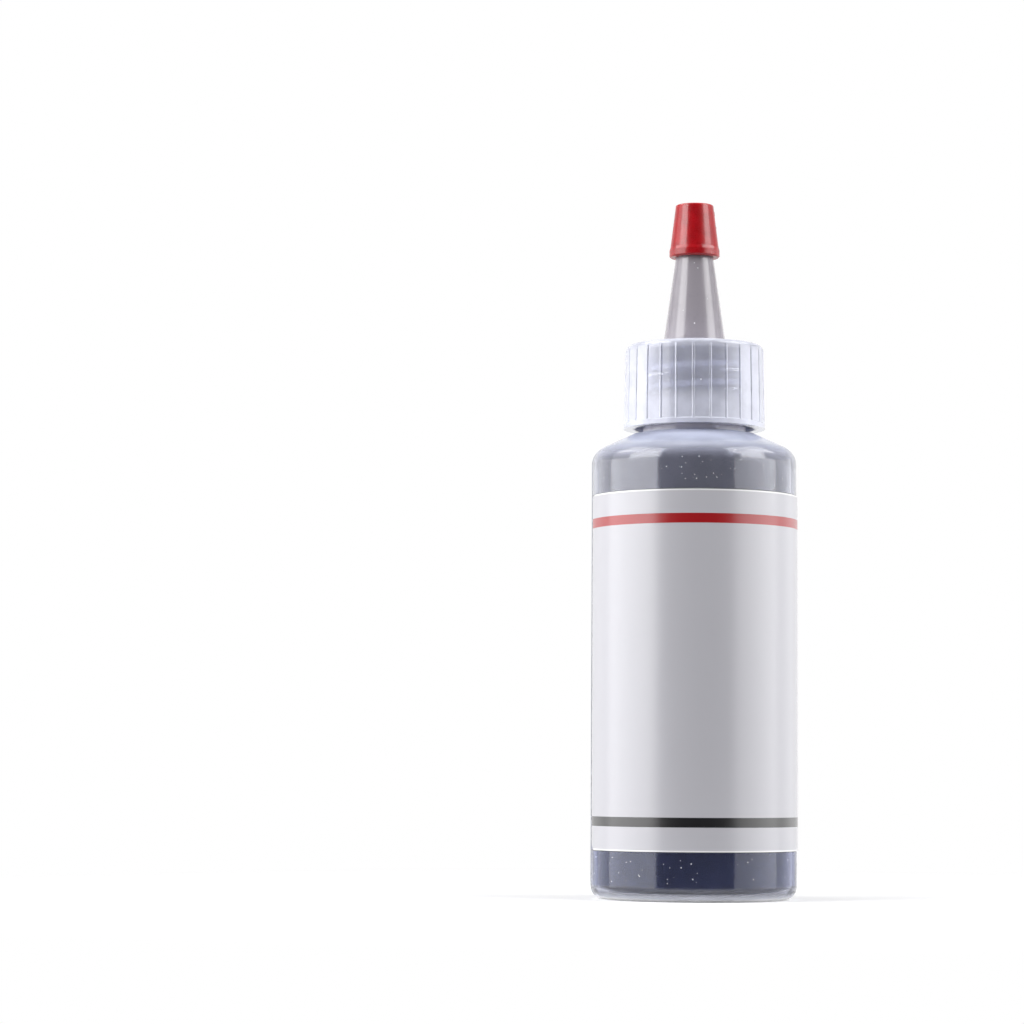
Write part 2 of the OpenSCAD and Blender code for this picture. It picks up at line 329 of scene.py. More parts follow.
class LabelSettings(bpy.types.PropertyGroup):
    film: FloatVectorProperty(
        name="Film",
        description="Colour of the white film",
        default=(0.6, 0.595, 0.645),
        subtype="COLOR",
        min=0,
        max=1,
    )
    upper_rule: FloatVectorProperty(
        name="Upper rule",
        description="Colour of the rule near the upper edge",
        default=(0.42, 0.006, 0.01),
        subtype="COLOR",
        min=0,
        max=1,
    )
    lower_rule: FloatVectorProperty(
        name="Lower rule",
        description="Colour of the rule near the lower edge",
        default=(0.012, 0.012, 0.014),
        subtype="COLOR",
        min=0,
        max=1,
    )
    rule_width: FloatProperty(
        name="Rule width",
        description="Width of the two rules",
        default=1.6 * MM,
        unit="LENGTH",
    )
    rule_margin: FloatProperty(
        name="Rule margin",
        description="Distance from a rule to the label's edge",
        default=4 * MM,
        unit="LENGTH",
    )


class PowderSettings(bpy.types.PropertyGroup):
    powder: FloatVectorProperty(
        name="Powder",
        description="Colour of the graphite powder",
        default=(0.035, 0.036, 0.042),
        subtype="COLOR",
        min=0,
        max=1,
    )
    dust: FloatVectorProperty(
        name="Dust",
        description="Colour of the film of dust inside the barrel, above the powder",
        default=(0.075, 0.071, 0.08),
        subtype="COLOR",
        min=0,
        max=1,
    )
    thin_dust: FloatVectorProperty(
        name="Thin dust",
        description="Colour of the thinner film of dust in the shoulder, the neck and the spout",
        default=(0.42, 0.41, 0.45),
        subtype="COLOR",
        min=0,
        max=1,
    )
    level: FloatProperty(
        name="Level",
        description="Height of the powder at the wall",
        default=62 * MM,
        unit="LENGTH",
    )
    crown: FloatProperty(
        name="Crown",
        description="Rise of the powder towards the middle",
        default=1.5 * MM,
        unit="LENGTH",
    )
    unevenness: FloatProperty(
        name="Unevenness",
        description="Depth of the hollows in the powder's surface",
        default=0.7 * MM,
        unit="LENGTH",
    )


class CapSettings(bpy.types.PropertyGroup):
    plastic: FloatVectorProperty(
        name="Plastic",
        description="Colour of the cap's milky plastic",
        default=(0.725, 0.742, 0.865),
        subtype="COLOR",
        min=0,
        max=1,
    )
    spout_plastic: FloatVectorProperty(
        name="Spout's plastic",
        description="Colour of the spout's plastic, dulled by dust",
        default=(0.33, 0.305, 0.34),
        subtype="COLOR",
        min=0,
        max=1,
    )
    skirt_milk: FloatProperty(
        name="Skirt milk",
        description="Share of light that the skirt scatters where it is seen square on",
        default=0.49,
        subtype="FACTOR",
        min=0,
        max=1,
    )
    low_milk: FloatProperty(
        name="Low milk",
        description="Share of light that the skirt scatters at its lower edge",
        default=0.86,
        subtype="FACTOR",
        min=0,
        max=1,
    )
    inside_milk: FloatProperty(
        name="Inside milk",
        description="Share of light that the skirt's inside and its thread scatter",
        default=0.05,
        subtype="FACTOR",
        min=0,
        max=1,
    )
    edge_milk: FloatProperty(
        name="Edge milk",
        description="Share of light that the skirt scatters where it is seen edge-on",
        default=0.93,
        subtype="FACTOR",
        min=0,
        max=1,
    )
    deck_milk: FloatProperty(
        name="Deck milk",
        description="Share of light that the thick deck scatters",
        default=0.85,
        subtype="FACTOR",
        min=0,
        max=1,
    )
    spout_milk: FloatProperty(
        name="Spout milk",
        description="Share of light that the spout scatters",
        default=1.0,
        subtype="FACTOR",
        min=0,
        max=1,
    )


class TipSettings(bpy.types.PropertyGroup):
    plastic: FloatVectorProperty(
        name="Plastic",
        description="Colour of the tip cap's plastic",
        default=(0.45, 0.004, 0.01),
        subtype="COLOR",
        min=0,
        max=1,
    )
    nub: FloatProperty(
        name="Nub",
        description="Radius of the moulding nubs on the tip cap's side",
        default=0.24 * MM,
        unit="LENGTH",
    )


class Nodes:
    """The nodes of a material, a lamp or the world, with a short call for each kind."""

    def __init__(self, tree):
        self.nodes = tree.nodes
        self.links = tree.links

    def put(self, socket, value):
        if isinstance(value, bpy.types.NodeSocket):
            self.links.new(value, socket)
        elif socket.type == "RGBA" and len(value) == 3:
            socket.default_value = (*value, 1)
        else:
            socket.default_value = value

    def node(self, kind, values=(), **settings):
        """A new node. values is a list of (socket's name or number, value or output)."""
        made = self.nodes.new("ShaderNode" + kind)
        for key, value in settings.items():
            setattr(made, key, value)
        for key, value in values:
            self.put(made.inputs[key], value)
        return made

    def math(self, operation, a, b=0.0, clamp=False):
        return self.node("Math", [(0, a), (1, b)], operation=operation, use_clamp=clamp).outputs[0]

    def steps(self, value, low, high, at_low=0.0, at_high=1.0):
        """at_low under low, at_high over high, and smooth in between."""
        values = [(0, value), (1, low), (2, high), (3, at_low), (4, at_high)]
        return self.node("MapRange", values, interpolation_type="SMOOTHSTEP").outputs[0]


class Finish(Nodes):
    """A material in the making."""

    def __init__(self, name):
        self.material = bpy.data.materials.new(name)
        self.material.use_nodes = True
        super().__init__(self.material.node_tree)
        self.surface = next(n for n in self.nodes if n.type == "BSDF_PRINCIPLED")
        self.place = self.node("TexCoord").outputs["Object"]

    def set(self, **sockets):
        """Sets the surface's own sockets. An underscore in a name stands for a space."""
        for key, value in sockets.items():
            self.put(self.surface.inputs[key.replace("_", " ")], value)
        return self

    def noise(self, size, detail=3.0, stretch=(1, 1, 1)):
        """Noise from 0 to 1 whose lumps are about size across."""
        place = self.node("VectorMath", [(0, self.place), (1, stretch)], operation="MULTIPLY")
        values = [("Vector", place.outputs[0]), ("Scale", 1 / size), ("Detail", detail)]
        return self.node("TexNoise", values).outputs["Fac"]

    def cells(self, size):
        """Distance to the nearest of many points that lie about size apart."""
        values = [("Vector", self.place), ("Scale", 1 / size)]
        return self.node("TexVoronoi", values).outputs["Distance"]

    def mix(self, share, a, b):
        """A colour between a and b."""
        values = [("Factor", share), (6, a), (7, b)]
        return self.node("Mix", values, data_type="RGBA").outputs[2]

    def blend(self, share, a, b):
        """A number between a and b."""
        return self.node("Mix", [("Factor", share), (2, a), (3, b)]).outputs[0]

    def edge_on(self, low, high):
        """0 where the surface is seen square on, 1 where it is seen edge-on, through more wall."""
        return self.steps(self.node("LayerWeight", [("Blend", 0.5)]).outputs["Facing"], low, high)

    def height(self):
        """Height above the plane that the bottle stands on."""
        return self.node("SeparateXYZ", [(0, self.place)]).outputs[2]

    def radius(self):
        """Distance from the bottle's axis."""
        flat = self.node("VectorMath", [(0, self.place), (1, (1, 1, 0))], operation="MULTIPLY")
        return self.node("VectorMath", [(0, flat.outputs[0])], operation="LENGTH").outputs["Value"]

    def band(self, value, low, high, edge):
        """1 between low and high, 0 outside."""
        rise = self.steps(value, low - edge, low + edge)
        fall = self.steps(value, high - edge, high + edge, 1.0, 0.0)
        return self.math("MULTIPLY", rise, fall)

    def bump(self, height, distance, under=None):
        """Relief that is distance deep, on top of the relief given as under."""
        values = [("Height", height), ("Distance", distance), ("Strength", 1.0)]
        if under is not None:
            values.append(("Normal", under))
        return self.node("Bump", values).outputs[0]


def paint(objects, finish):
    """Gives the objects a finish in place of what they have."""
    for o in objects:
        o.data.materials.clear()
        o.data.materials.append(finish.material)
        for face in o.data.polygons:
            face.material_index = 0


def add_object(name, data):
    made = bpy.data.objects.new(name, data)
    bpy.context.scene.collection.objects.link(made)
    return made


def new_piece(name, vertices, faces):
    """A smooth mesh object whose points are in metres from the bottle's origin."""
    mesh = bpy.data.meshes.new(name)
    mesh.from_pydata(vertices, [], faces)
    mesh.validate()
    mesh.update()
    for face in mesh.polygons:
        face.use_smooth = True
    return add_object(name, mesh)


def dress(piece, finish, body, replaced=()):
    """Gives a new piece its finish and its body."""
    paint([piece], finish)
    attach(piece, body)
    if replaced:
        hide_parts(*replaced)
    return piece


def arc(centre, radius, first, last, steps):
    """Points of an arc in a section, from one angle to another."""
    return [
        (
            centre[0] + radius * math.cos(first + (last - first) * i / steps),
            centre[1] + radius * math.sin(first + (last - first) * i / steps),
        )
        for i in range(steps + 1)
    ]


def lathe(name, profile, segments=144, shape=None):
    """Turns a closed section round the axis. Points on the axis become one vertex each.

    shape, if given, takes a point and returns it moved.
    """
    vertices, rows = [], []
    for r, z in profile:
        if r < 1e-9:
            rows.append([len(vertices)] * segments)
            vertices.append((0, 0, z))
            continue
        rows.append(list(range(len(vertices), len(vertices) + segments)))
        for i in range(segments):
            a = TURN * i / segments
            vertices.append((r * math.cos(a), r * math.sin(a), z))
    if shape:
        vertices = [shape(Vector(v)) for v in vertices]
    closed = profile[0][0] > 1e-9
    pairs = list(zip(rows, rows[1:]))
    if closed:
        pairs.append((rows[-1], rows[0]))
    faces = []
    for low, high in pairs:
        for i in range(segments):
            k = (i + 1) % segments
            corners = [low[i], low[k], high[k], high[i]]
            face = [v for n, v in enumerate(corners) if v not in corners[:n]]
            if len(face) > 2:
                faces.append(face)
    return new_piece(name, vertices, faces)


def shell(name, line, thickness, segments=144):
    """A thin skin on the inside of a wall. line runs up the wall, and the skin lies inside it."""
    inner = []
    for i, (r, z) in enumerate(line):
        before, after = line[max(i - 1, 0)], line[min(i + 1, len(line) - 1)]
        dr, dz = after[0] - before[0], after[1] - before[1]
        length = math.hypot(dr, dz)
        inner.append((r - dz / length * thickness, z + dr / length * thickness))
    return lathe(name, line + inner[::-1], segments)


def blobs(name, places, seed):
    """Many small uneven lumps in one mesh. places holds their centres, sizes and outward ways."""
    rng = random.Random(seed)
    vertices, faces = [], []
    ring, rows = 7, 4
    for centre, size, normal in places:
        turn = Vector(normal).to_track_quat("Z", "Y").to_matrix()
        first = len(vertices)
        vertices.append(centre + turn @ Vector((0, 0, -size / 2)))
        for j in range(1, rows):
            lift = math.pi * j / rows
            for i in range(ring):
                a = TURN * i / ring
                spread = size * math.sin(lift) * rng.uniform(0.8, 1.15)
                low = -size / 2 * math.cos(lift)
                p = Vector((spread * math.cos(a), spread * math.sin(a), low))
                vertices.append(centre + turn @ p)
        vertices.append(centre + turn @ Vector((0, 0, size / 2)))
        last = len(vertices) - 1
        for i in range(ring):
            k = (i + 1) % ring
            faces.append((first, first + 1 + k, first + 1 + i))
            for j in range(rows - 2):
                low, high = first + 1 + j * ring, first + 1 + (j + 1) * ring
                faces.append((low + i, low + k, high + k, high + i))
            top = first + 1 + (rows - 2) * ring
            faces.append((top + i, top + k, last))
    return new_piece(name, vertices, faces)


def on_side(degrees, z, r, size):
    """A lump's centre, size and outward way. The angle is from +X, z and r are in millimetres."""
    a = math.radians(degrees)
    out = Vector((math.cos(a), math.sin(a), 0))
    return out * r * MM + Vector((0, 0, z * MM)), size, out


def pale_specks(name):
    """The finish of pale grains and tiny bubbles."""
    finish = Finish(name)
    tint = finish.steps(finish.noise(2 * MM), 0.35, 0.65)
    return finish.set(
        Base_Color=finish.mix(tint, SPECK_DULL, SPECK_BRIGHT),
        Roughness=finish.steps(finish.noise(0.1 * MM), 0.3, 0.7, 0.35, 0.6),
        Normal=finish.bump(finish.noise(0.05 * MM), 0.01 * MM),
    )


def soft_box(name, directions, heights, brightness, inner, upper):
    """An upright area lamp that faces the bottle's axis.

    directions are those of its two edges in degrees, 0 at the front and growing to the right, the
    one nearer the front first. heights are those of its lower and upper edge. inner is how bright
    it is at the edge nearer the front, and upper how bright at the top, beside the rest of it.
    """
    low, high = heights
    middle = math.radians(sum(directions) / 2)
    half = math.radians(abs(directions[1] - directions[0]) / 2)
    width = 2 * BOX_DISTANCE * math.tan(half)
    lamp = bpy.data.lights.new(name, "AREA")
    lamp.shape = "RECTANGLE"
    lamp.size, lamp.size_y = width, high - low
    lamp.energy = 4 * width * (high - low)
    lamp.use_nodes = True
    tree = Nodes(lamp.node_tree)
    glow = next(n for n in tree.nodes if n.type == "EMISSION")
    spot = tree.node("NewGeometry").outputs["Parametric"]
    place = tree.node("SeparateXYZ", [(0, spot)]).outputs
    left_edge, right_edge = (inner, 1) if directions[0] > 0 else (1, inner)
    across = tree.steps(place[0], 0, 1, left_edge, right_edge)
    rise_from, rise_to = ((z - low) / (high - low) for z in (0.1, 0.15))
    up = tree.steps(place[1], rise_from, rise_to, brightness, brightness * upper)
    tree.put(glow.inputs["Strength"], tree.math("MULTIPLY", across, up))
    made = add_object(name, lamp)
    x, y = BOX_DISTANCE * math.sin(middle), -BOX_DISTANCE * math.cos(middle)
    made.location = (x, y, (low + high) / 2)
    made.rotation_euler = (math.pi / 2, 0, middle)
    made.visible_camera = False


class BOTTLE_OT_stage(bpy.types.Operator):
    """Set up the camera, the lamps, the backdrop and the floor"""

    bl_idname = "bottle.stage"
    bl_label = "Set Up Studio"

    def execute(self, context):
        look = context.scene.studio_settings
        self.add_camera(context, look)
        self.add_lamps(look)
        self.add_backdrop(context, look)
        self.add_floor(look)
        context.scene.view_settings.view_transform = "Standard"
        return {"FINISHED"}

    def add_camera(self, context, look):
        camera = add_object("camera", bpy.data.cameras.new("camera"))
        camera.data.lens = look.focal_length
        camera.data.sensor_width = 36
        camera.data.clip_start = 0.01
        camera.data.clip_end = 10
        camera.location = look.camera_place
        level = Matrix.Rotation(math.pi / 2 + look.camera_pitch, 3, "X")
        camera.rotation_euler = (level @ Matrix.Rotation(look.camera_roll, 3, "Z")).to_euler()
        context.scene.camera = camera

    def add_lamps(self, look):
        for name, directions, row, setting, share, inner, upper in SOFT_BOXES:
            soft_box(name, directions, row, getattr(look, setting) * share, inner, upper)
        top = bpy.data.lights.new("top_box", "AREA")
        top.size = TOP_BOX_SIZE
        top.energy = math.pi * TOP_BOX_SIZE**2 * look.top_box
        above = add_object("top_box", top)
        above.location.z = TOP_BOX_HEIGHT
        above.visible_camera = False

    def add_backdrop(self, context, look):
        """White to the camera, in glass and in mirrors, but there dark between the front boxes."""
        world = bpy.data.worlds.new("backdrop")
        context.scene.world = world
        world.use_nodes = True
        tree = Nodes(world.node_tree)
        tree.nodes.clear()
        calc, steps = tree.math, tree.steps
        way = tree.node("TexCoord").outputs["Generated"]
        x, y, z = tree.node("SeparateXYZ", [(0, way)]).outputs
        level = calc("SQRT", calc("ADD", calc("MULTIPLY", x, x), calc("MULTIPLY", y, y)))
        # 1 straight in front of the bottle, -1 behind it
        facing = calc("DIVIDE", calc("MULTIPLY", y, -1.0), level)
        in_gap = calc("MULTIPLY", steps(facing, 0.70, 0.75), steps(z, 0.93, 0.98, 1, 0))
        front = steps(in_gap, 0, 1, 1.0, 0.06)
        behind = steps(facing, -0.9, -0.6, 1.0, 0.6)
        mirrored = calc("MULTIPLY", front, behind)
        rays = tree.node("LightPath").outputs
        seen = calc("MAXIMUM", rays["Is Camera Ray"], rays["Is Transmission Ray"])
        glossy = rays["Is Glossy Ray"]
        not_seen = calc("MULTIPLY", calc("SUBTRACT", 1.0, seen), mirrored)
        bright = calc("ADD", seen, calc("MULTIPLY", not_seen, glossy))
        neither = calc("SUBTRACT", 1.0, calc("MAXIMUM", seen, glossy))
        strength = calc("ADD", bright, calc("MULTIPLY", neither, look.fill))
        sky = tree.node("Background", [("Color", (1, 1, 1)), ("Strength", strength)])
        tree.node("OutputWorld", [("Surface", sky.outputs[0])])

    def add_floor(self, look):
        """A disc that fades into the backdrop towards its rim, and sooner in mirrors."""
        rings, segments = 24, 96
        vertices, faces = [(0, 0, 0)], []
        for j in range(1, rings + 1):
            for i in range(segments):
                a = TURN * i / segments
                r = look.floor_radius * j / rings
                vertices.append((r * math.cos(a), r * math.sin(a), 0))
        for i in range(segments):
            k = (i + 1) % segments
            faces.append((0, 1 + i, 1 + k))
            for j in range(rings - 1):
                low, high = 1 + j * segments, 1 + (j + 1) * segments
                faces.append((low + i, high + i, high + k, low + k))
        floor = new_piece("floor", vertices, faces)
        finish = Finish("floor")
        speckle = finish.steps(finish.noise(6 * MM), 0.3, 0.7, 0.0, 0.06)
        colour = finish.mix(speckle, look.floor_colour, (1, 1, 1))
        rays = finish.node("LightPath").outputs
        seen = finish.math("ADD", rays["Is Camera Ray"], rays["Is Glossy Ray"], clamp=True)
        r = finish.radius()
        # The light that the floor sends back grows less away from the bottle
        near = finish.steps(r, BODY_R + 3 * MM, BODY_R + 8 * MM, 0.75, 0.25)
        bounce = finish.node("CombineColor", [(0, near), (1, near), (2, near)]).outputs[0]
        finish.set(
            Base_Color=finish.mix(seen, bounce, colour),
            Roughness=0.9,
            Specular_IOR_Level=0.1,
            Emission_Color=(1, 1, 1),
            Emission_Strength=finish.math("MULTIPLY", seen, look.floor_lift),
        )
        rim = finish.steps(r, look.floor_radius * 0.3, look.floor_radius * 0.98)
        mirror_rim = finish.steps(r, BODY_R + 6 * MM, BODY_R + 25 * MM)
        mirror_rim = finish.math("MULTIPLY", mirror_rim, rays["Is Glossy Ray"])
        faded = finish.math("MAXIMUM", rim, mirror_rim)
        clear = finish.node("BsdfTransparent").outputs[0]
        shaders = [(0, faded), (1, finish.surface.outputs[0]), (2, clear)]
        both = finish.node("MixShader", shaders)
        out = next(n for n in finish.nodes if n.type == "OUTPUT_MATERIAL")
        finish.links.new(both.outputs[0], out.inputs["Surface"])
        paint([floor], finish)


class BOTTLE_OT_bottle(bpy.types.Operator):
    """Give the bottle its milky plastic, the seam of its mould and the specks in its wall"""

    bl_idname = "bottle.bottle"
    bl_label = "Finish Bottle"

    def execute(self, context):
        look = context.scene.bottle_settings
        finish = self.plastic(look)
        paint([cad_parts["bottle"]], finish)
        self.add_seams(look, finish)
        self.add_specks(look)
        return {"FINISHED"}

    def plastic(self, look):
        """Milky plastic. Milk is the share of light that it scatters. The rest goes through."""
        finish = Finish("milky_plastic")
        z, r = finish.height(), finish.radius()
        on_neck = finish.steps(z, LEDGE_Z, LEDGE_Z + 0.5 * MM)
        thread = finish.steps(r, NECK_R + 0.1 * MM, NECK_R + 0.5 * MM)
        on_thread = finish.math("MULTIPLY", on_neck, thread)
        # A thin band of painted shade just under and just over the label's edges
        width, edge = 0.14 * MM, 0.05 * MM
        under = finish.band(z, LABEL_LOW_Z - width, LABEL_LOW_Z, edge)
        over = finish.band(z, LABEL_HIGH_Z, LABEL_HIGH_Z + width, edge)
        edge_shade = finish.math("ADD", under, over)
        tint = self.tint(finish, look, on_neck, on_thread, edge_shade)
        milk = self.milk(finish, look, on_thread, edge_shade)
        streaks = finish.noise(2.2 * MM, 2.0, (1, 1, 0.12))
        grain = finish.noise(0.18 * MM, 2.0)
        # Waves and streaks end at the shoulder, which is a little duller instead
        above = finish.steps(z, BARREL_TOP_Z - 0.8 * MM, BARREL_TOP_Z + 0.8 * MM)
        below = finish.math("SUBTRACT", 1.0, above)
        waves = finish.math("MULTIPLY", finish.noise(7 * MM, 1.0, (1, 1, 0.4)), below)
        normal = finish.bump(waves, 0.12 * MM)
        normal = finish.bump(finish.math("MULTIPLY", streaks, below), 0.012 * MM, normal)
        normal = finish.bump(grain, 0.0008 * MM, normal)
        dull = finish.math("MULTIPLY", above, 0.05)
        bare_band = finish.band(z, LABEL_HIGH_Z - MM, BARREL_TOP_Z + MM, MM)
        finish.set(
            Base_Color=tint,
            Transmission_Weight=finish.math("SUBTRACT", 1.0, milk),
            Roughness=finish.math("ADD", finish.steps(streaks, 0.3, 0.7, 0.08, 0.12), dull),
            IOR=1.5,
            Coat_Weight=finish.math("MULTIPLY", bare_band, 0.3),
            Coat_Roughness=0.08,
            Normal=normal,
        )
        return finish

    def tint(self, finish, look, on_neck, on_thread, edge_shade):
        """The plastic's colour from the base up."""
        z = finish.height()
        wetted = finish.band(z, CORNER_OUT_R, LABEL_LOW_Z + MM, 0.5 * MM)
        tint = finish.mix(wetted, look.plastic, look.plastic_on_powder)
        # Painted light: the neck between the ledge and the skirt's foot is painted near white
        tint = finish.mix(on_neck, tint, GAP_PAINTED_LIGHT)
        in_skirt = finish.steps(z, SKIRT_LOW_Z, SKIRT_LOW_Z + 1.5 * MM)
        tint = finish.mix(in_skirt, tint, look.neck_plastic)
        # Painted shade along the label's upper and lower edges
        tint = finish.mix(edge_shade, tint, LABEL_EDGE_SHADE)
        # Painted shade: the shoulder's slope is painted a darker, bluer copy of the plastic
        on_slope = finish.band(z, BARREL_TOP_Z + 2 * MM, LEDGE_Z, MM)
        tint = finish.mix(on_slope, tint, SLOPE_PAINTED_SHADE)
        tint = finish.mix(on_thread, tint, THREAD_TINT)
        # Painted highlight: the lowest part of the base corner is painted pale
        return finish.mix(finish.steps(z, 0.3 * MM, 0.7 * MM), CORNER_HIGHLIGHT_AND_SPECK_WHITE, tint)

    def milk(self, finish, look, on_thread, edge_shade):
        """More in the shoulder, the neck's sides and wherever the wall is thick."""
        z = finish.height()
        shoulder = finish.steps(z, BARREL_TOP_Z - 0.3 * MM, LEDGE_Z - 0.7 * MM)
        milk = finish.math("MULTIPLY", shoulder, look.shoulder_milk - look.barrel_milk)
        milk = finish.math("ADD", milk, look.barrel_milk)
        sides = finish.edge_on(0.3, 0.55)
        neck_milk = finish.steps(sides, 0.0, 1.0, look.neck_milk, look.shoulder_milk)
        # Painted light: more milk in the gap under the skirt, so that its near-white paint shows
        in_gap = finish.steps(z, SKIRT_LOW_Z, SKIRT_LOW_Z + MM, 0.5, 0.0)
        in_gap = finish.math("ADD", in_gap, look.neck_milk)
        neck_milk = finish.math("MAXIMUM", neck_milk, in_gap)
        above_ledge = finish.steps(z, LEDGE_Z, LEDGE_Z + 0.3 * MM)
        milk = finish.blend(above_ledge, milk, neck_milk)
        thick_corner = finish.steps(z, 0.4 * MM, 1.4 * MM, 0.7, 0.0)
        # The thick base corner scatters more, and the painted shade at the label's edges gets full
        # milk so that it shows opaque
        milk = finish.math("ADD", milk, finish.math("ADD", thick_corner, edge_shade))
        milk = finish.math("ADD", milk, finish.math("MULTIPLY", on_thread, look.thread_milk))
        cloud = finish.steps(finish.noise(5 * MM, 2.0), 0.3, 0.7, 0.93, 1.07)
        return finish.math("MULTIPLY", milk, cloud, clamp=True)

    def outside(self):
        """The two arcs of the bottle's outside section, at the base and at the shoulder."""
        base = arc((STAND_OUTER_R, CORNER_OUT_R), CORNER_OUT_R, -math.pi / 2, 0, 8)
        centre = (BODY_R - SHOULDER_OUT_R, BARREL_TOP_Z)
        top = arc(centre, SHOULDER_OUT_R, 0, math.pi / 2 - SHOULDER_SLOPE, 8)
        return base, top

    def add_seams(self, look, finish):
        base, top = self.outside()
        label_low, label_high = LABEL_LOW_Z - 0.1 * MM, LABEL_HIGH_Z + 0.1 * MM
        ledge = [(LEDGE_R + 0.1 * MM, LEDGE_Z - 0.05 * MM)]
        lines = {
            "seam_right_low": (base[2:] + [(BODY_R, label_low)], 0),
            "seam_right_high": ([(BODY_R, label_high)] + top + ledge, 0),
            "seam_left": (base[2:] + top + ledge, math.pi),
        }
        for name, (line, angle) in lines.items():
            seam = self.ridge(name, line, angle, look.seam_width, look.seam_height)
            dress(seam, finish, "bottle_body")

    def ridge(self, name, line, angle, width, height):
        """A low rounded ridge along a line of the bottle's outside section."""
        turn = Matrix.Rotation(angle, 3, "Z")
        across, sunk = 5, 0.05 * MM
        vertices, faces = [], []
        for i, (r, z) in enumerate(line):
            before, after = line[max(i - 1, 0)], line[min(i + 1, len(line) - 1)]
            dr, dz = after[0] - before[0], after[1] - before[1]
            length = math.hypot(dr, dz)
            out = Vector((dz / length, 0, -dr / length))
            fade = 0.3 if i in (0, len(line) - 1) else 1
            here = Vector((r, 0, z))
            for k in range(across):
                share = 2 * k / (across - 1) - 1
                rise = height * fade * (1 - share * share) - sunk * abs(share)
                vertices.append(turn @ (here + out * rise + Vector((0, width / 2 * share, 0))))
            for k in (across - 1, 0):
                share = 2 * k / (across - 1) - 1
                low = here - out * 2 * sunk + Vector((0, width / 2 * share, 0))
                vertices.append(turn @ low)
        ring = across + 2
        for i in range(len(line) - 1):
            for k in range(ring):
                a, b = i * ring + k, i * ring + (k + 1) % ring
                faces.append((a, b, b + ring, a + ring))
        faces.append(tuple(range(ring))[::-1])
        faces.append(tuple(range((len(line) - 1) * ring, len(line) * ring)))
        return new_piece(name, vertices, faces)

    def add_specks(self, look):
        rng = random.Random(11)
        places = []
        above_label = (LABEL_HIGH_Z + MM, BARREL_TOP_Z)
        under_label = (3 * MM, LABEL_LOW_Z - MM)
        for i in range(look.specks + look.front_specks):
            in_front = i >= look.specks
            a = rng.gauss(-TURN / 4, 0.16) if in_front else rng.uniform(0, TURN)
            high = rng.random() < 0.5 or in_front
            z = rng.uniform(*(above_label if high else under_label))
            size = rng.uniform(0.03, 0.1) * MM
            out = Vector((math.cos(a), math.sin(a), 0))
            places.append((out * BODY_R + Vector((0, 0, z)), size, out))
        specks = blobs("wall_specks", places, 12)
        dress(specks, pale_specks("wall_specks"), "bottle_body")


class BOTTLE_OT_label(bpy.types.Operator):
    """Give the label its glossy white film with two plain rules"""

    bl_idname = "bottle.label"
    bl_label = "Finish Label"

    def execute(self, context):
        look = context.scene.label_settings
        finish = Finish("label_film")
        z = finish.height()
        width, margin, edge = look.rule_width, look.rule_margin, 0.03 * MM
        high = finish.band(z, LABEL_HIGH_Z - margin - width, LABEL_HIGH_Z - margin, edge)
        low = finish.band(z, LABEL_LOW_Z + margin, LABEL_LOW_Z + margin + width, edge)
        cloud = finish.steps(finish.noise(9 * MM, 2.0), 0.3, 0.7, 0.0, 0.03)
        film = finish.mix(cloud, look.film, FILM_CLOUD)
        # Painted highlight: the film is painted paler in a narrow band along its upper and lower
        # cut edges
        cut_edge = 0.25 * MM
        inside = finish.band(z, LABEL_LOW_Z + cut_edge, LABEL_HIGH_Z - cut_edge, 0.1 * MM)
        film = finish.mix(inside, FILM_EDGE_HIGHLIGHT, film)
        printed = finish.mix(low, finish.mix(high, film, look.upper_rule), look.lower_rule)
        waves = finish.noise(6 * MM, 1.0, (1, 1, 0.35))
        grain = finish.noise(0.22 * MM, 2.0)
        normal = finish.bump(waves, 0.06 * MM)
        normal = finish.bump(grain, 0.0012 * MM, normal)
        finish.set(
            Base_Color=printed,
            Roughness=finish.steps(grain, 0.3, 0.7, 0.3, 0.38),
            Coat_Weight=1.0,
            Coat_Roughness=0.25,
            Normal=normal,
        )
        paint([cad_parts["label"]], finish)
        return {"FINISHED"}


